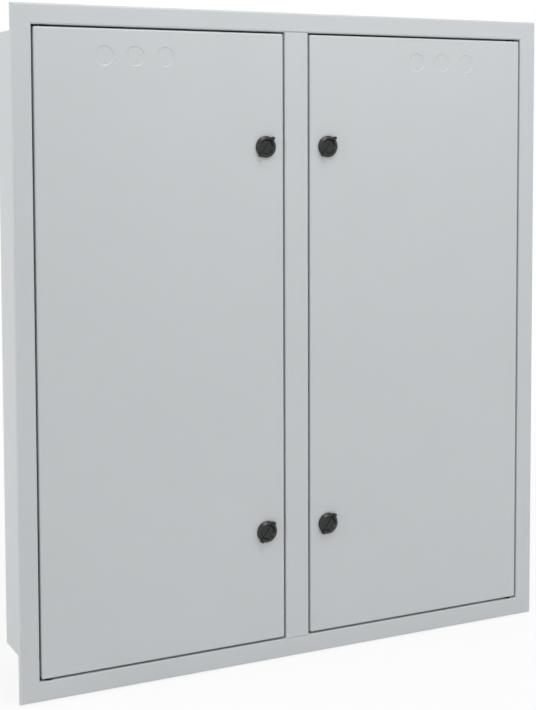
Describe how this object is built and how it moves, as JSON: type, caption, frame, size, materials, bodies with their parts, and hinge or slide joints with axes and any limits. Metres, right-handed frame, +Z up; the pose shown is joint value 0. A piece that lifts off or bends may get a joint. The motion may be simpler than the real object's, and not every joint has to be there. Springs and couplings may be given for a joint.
{
  "type": "flush-mount distribution board",
  "caption": "Flush-mount distribution board: flanged steel box let into a wall, with two locking doors, slotted covers, device rails and terminal bars.",
  "frame": {"origin": "centre of the four fixing holes, on the rear face of the box", "axes": "+Z up, +Y into the wall, +X to the right as seen from the front, so the doors face -Y"},
  "size_m": [0.76, 0.157, 0.85],
  "materials": {
    "painted_steel": "light grey powder coat, fine texture, satin",
    "black_plastic": "moulded, slightly glossy",
    "galvanised_steel": "zinc coated sheet",
    "zinc_screws": "zinc plated",
    "blackened_steel": "black zinc plated",
    "brass": "drawn bar",
    "blue_plastic": "moulded",
    "green_plastic": "moulded"
  },
  "bodies": {
    "board": {"back_box": "painted_steel", "front_frame": "painted_steel", "centre_mullion": "painted_steel", "top_cable_plate": "painted_steel", "bottom_cable_plate": "painted_steel", "frame_screws": "zinc_screws", "cable_plate_screws": "zinc_screws", "rail_screws": "zinc_screws", "cover_pillars": "zinc_screws", "cover_screws": "black_plastic", "neutral_bar_supports": "blue_plastic", "earth_bar_supports": "green_plastic", "left_inner_upright": "galvanised_steel", "left_outer_upright": "galvanised_steel", "left_inner_cover": "painted_steel", "left_neutral_bar": "brass", "left_earth_bar": "brass", "left_device_rail_1": "galvanised_steel", "left_device_rail_2": "galvanised_steel", "left_device_rail_3": "galvanised_steel", "left_device_rail_4": "galvanised_steel", "left_device_rail_5": "galvanised_steel", "right_inner_upright": "galvanised_steel", "right_outer_upright": "galvanised_steel", "right_inner_cover": "painted_steel", "right_neutral_bar": "brass", "right_earth_bar": "brass", "right_device_rail_1": "galvanised_steel", "right_device_rail_2": "galvanised_steel", "right_device_rail_3": "galvanised_steel", "right_device_rail_4": "galvanised_steel", "right_device_rail_5": "galvanised_steel"},
    "left_leaf": {"left_door": "painted_steel", "left_door_stiffener": "painted_steel", "left_hinge_blocks": "black_plastic", "left_hinge_pins": "blackened_steel", "left_lock_nuts": "zinc_screws", "upper_left_lock_housing": "black_plastic", "lower_left_lock_housing": "black_plastic"},
    "right_leaf": {"right_door": "painted_steel", "right_door_stiffener": "painted_steel", "right_hinge_blocks": "black_plastic", "right_hinge_pins": "blackened_steel", "right_lock_nuts": "zinc_screws", "upper_right_lock_housing": "black_plastic", "lower_right_lock_housing": "black_plastic"},
    "upper_left_lock": {"upper_left_lock_knob": "black_plastic", "upper_left_lock_cam": "galvanised_steel", "upper_left_lock_cam_screw": "zinc_screws"},
    "lower_left_lock": {"lower_left_lock_knob": "black_plastic", "lower_left_lock_cam": "galvanised_steel", "lower_left_lock_cam_screw": "zinc_screws"},
    "upper_right_lock": {"upper_right_lock_knob": "black_plastic", "upper_right_lock_cam": "galvanised_steel", "upper_right_lock_cam_screw": "zinc_screws"},
    "lower_right_lock": {"lower_right_lock_knob": "black_plastic", "lower_right_lock_cam": "galvanised_steel", "lower_right_lock_cam_screw": "zinc_screws"}
  },
  "joints": [
    {"name": "left_door_hinge", "type": "hinge", "parent": "board", "child": "left_leaf", "pos_m": [-0.3425, -0.1445, 0], "axis": [0, 0, -1], "range_deg": [0, 120]},
    {"name": "right_door_hinge", "type": "hinge", "parent": "board", "child": "right_leaf", "pos_m": [0.3425, -0.1445, 0], "axis": [0, 0, 1], "range_deg": [0, 120]},
    {"name": "upper_left_lock_turn", "type": "hinge", "parent": "left_leaf", "child": "upper_left_lock", "pos_m": [-0.0455, -0.15, 0.252], "axis": [0, 1, 0], "range_deg": [0, 90]},
    {"name": "lower_left_lock_turn", "type": "hinge", "parent": "left_leaf", "child": "lower_left_lock", "pos_m": [-0.0455, -0.15, -0.252], "axis": [0, 1, 0], "range_deg": [0, 90]},
    {"name": "upper_right_lock_turn", "type": "hinge", "parent": "right_leaf", "child": "upper_right_lock", "pos_m": [0.0455, -0.15, 0.252], "axis": [0, 1, 0], "range_deg": [0, 90]},
    {"name": "lower_right_lock_turn", "type": "hinge", "parent": "right_leaf", "child": "lower_right_lock", "pos_m": [0.0455, -0.15, -0.252], "axis": [0, 1, 0], "range_deg": [0, 90]}
  ]
}
